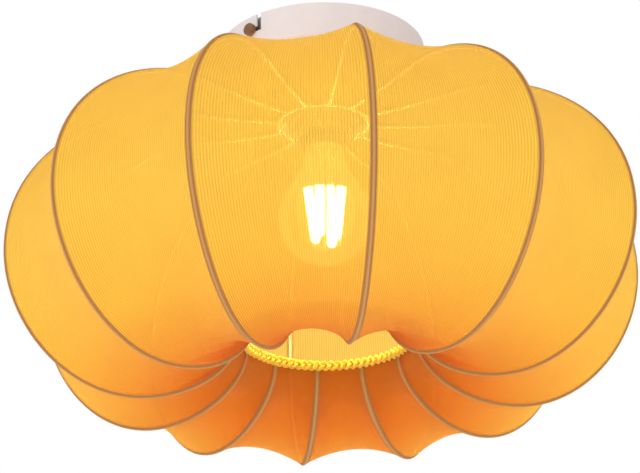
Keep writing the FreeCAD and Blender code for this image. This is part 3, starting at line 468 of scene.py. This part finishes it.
strands = []
for strand in range(STRANDS):
    # one turn of the strand is drawn out step by step, repeated along the cord, and the cord bent to a ring
    bpy.ops.mesh.primitive_circle_add(vertices=8, radius=STRAND, rotation=(0, math.pi / 2, 0),
                                      location=strand_place(strand, 0))
    bpy.ops.object.transform_apply(location=True, rotation=True, scale=True)
    bpy.ops.object.mode_set(mode="EDIT")
    for step in range(STEPS):
        move = strand_place(strand, step + 1) - strand_place(strand, step)
        bpy.ops.mesh.extrude_region_move(TRANSFORM_OT_translate={"value": move})
    bpy.ops.object.mode_set(mode="OBJECT")
    cord = bpy.context.object
    repeat = cord.modifiers.new("repeat", "ARRAY")
    repeat.use_relative_offset = False
    repeat.use_constant_offset = True
    repeat.constant_offset_displace = (one_turn, 0, 0)
    repeat.count = PLAITS
    repeat.use_merge_vertices = True
    repeat.merge_threshold = STRAND / 100
    ring = cord.modifiers.new("ring", "SIMPLE_DEFORM")
    ring.deform_method = "BEND"
    ring.deform_axis = "Z"
    ring.angle = 2 * math.pi
    bpy.ops.object.modifier_apply(modifier=repeat.name)
    bpy.ops.object.modifier_apply(modifier=ring.name)
    strands.append(cord)
for cord in strands:
    cord.select_set(True)
bpy.ops.object.join()
plait = bpy.context.object
plait.name = "mouth_plait"
plait.location = (0, -braid_radius, braid_height)
bpy.ops.object.transform_apply(location=True, rotation=True, scale=True)
bpy.ops.object.mode_set(mode="EDIT")
bpy.ops.mesh.select_all(action="SELECT")
bpy.ops.mesh.remove_doubles(threshold=STRAND / 100)
bpy.ops.mesh.normals_make_consistent(inside=False)
bpy.ops.object.mode_set(mode="OBJECT")
bpy.ops.object.shade_smooth()
bpy.ops.object.select_all(action="DESELECT")
plait.data.materials.append(surface_finish("mercerised_cotton", "eab512", "f8d02c", 0.6, 0.0007, 0.0001,
                                           **{"Sheen Weight": 0.4}))
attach(plait, "shade")
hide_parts("mouth_braid")

# ---------------------------------------------------------------- studio
# A pale floor a room's height below the ceiling, an even white surround, and large soft lights. The bulb has
# its own small light.
FLOOR_HEIGHT = -2.3
LANTERN_MIDDLE = Vector((0, 0, -0.12))

bpy.ops.mesh.primitive_plane_add(size=12.0, location=(0, 0, FLOOR_HEIGHT))
floor = bpy.context.object
floor.name = "studio_floor"
floor.data.materials.append(surface_finish("matt_floor", "f2f1ee", "f7f6f4", 0.8, 0.004, 0.0001))

world = bpy.data.worlds.new("white_studio")
bpy.context.scene.world = world
world.use_nodes = True
tree = world.node_tree
tree.nodes.clear()
seen = add(tree, "LightPath").outputs["Is Camera Ray"]
level = add(tree, "MapRange", {"Value": seen, "To Min": 0.55, "To Max": 1.0})
backdrop = add(tree, "Background", {"Color": linear("ffffff"), "Strength": level.outputs[0]})
tree.links.new(backdrop.outputs[0], add(tree, "OutputWorld").inputs["Surface"])


def soft_light(name, place, size, power, towards=LANTERN_MIDDLE):
    """A square light that faces a point."""
    light = bpy.data.lights.new(name, "AREA")
    light.size = size
    light.energy = power
    lamp = bpy.data.objects.new(name, light)
    lamp.location = place
    lamp.rotation_mode = "QUATERNION"
    lamp.rotation_quaternion = (towards - lamp.location).to_track_quat("-Z", "Y")
    bpy.context.collection.objects.link(lamp)


soft_light("key_light", Vector((-1.4, -0.2, 0.1)), 1.2, 8.0)
soft_light("fill_light", Vector((0.5, -1.6, -0.5)), 1.2, 5.0)
soft_light("floor_light", Vector((0, 0, -0.7)), 3.0, 60.0, towards=Vector((0, 0, FLOOR_HEIGHT)))

bulb_low, bulb_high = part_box("bulb_filaments")
lamp = bpy.data.objects.new("bulb_light", bpy.data.lights.new("bulb_light", "POINT"))
lamp.location = (bulb_low + bulb_high) / 2
lamp.data.energy = 0.6
lamp.data.color = linear("ffe2ac")[:3]
lamp.data.shadow_soft_size = 0.012
bpy.context.collection.objects.link(lamp)

# ---------------------------------------------------------------- camera
# It stands below the lamp and in front of one panel, with a long lens, and is tilted a little to one side.
camera = bpy.data.objects.new("camera", bpy.data.cameras.new("camera"))
camera.data.lens = 127.2
camera.data.shift_x = -0.03
camera.location = (-0.9801, -0.8641, -0.6946)
heading, pitch, roll = math.radians(41.04), math.radians(23.33), math.radians(-1.425)
aim = Vector((math.cos(heading) * math.cos(pitch), math.sin(heading) * math.cos(pitch), math.sin(pitch)))
camera.rotation_mode = "QUATERNION"
camera.rotation_quaternion = aim.to_track_quat("-Z", "Y") @ Quaternion((0, 0, 1), roll)
bpy.context.collection.objects.link(camera)
bpy.context.scene.camera = camera
bpy.context.scene.view_settings.view_transform = "Standard"
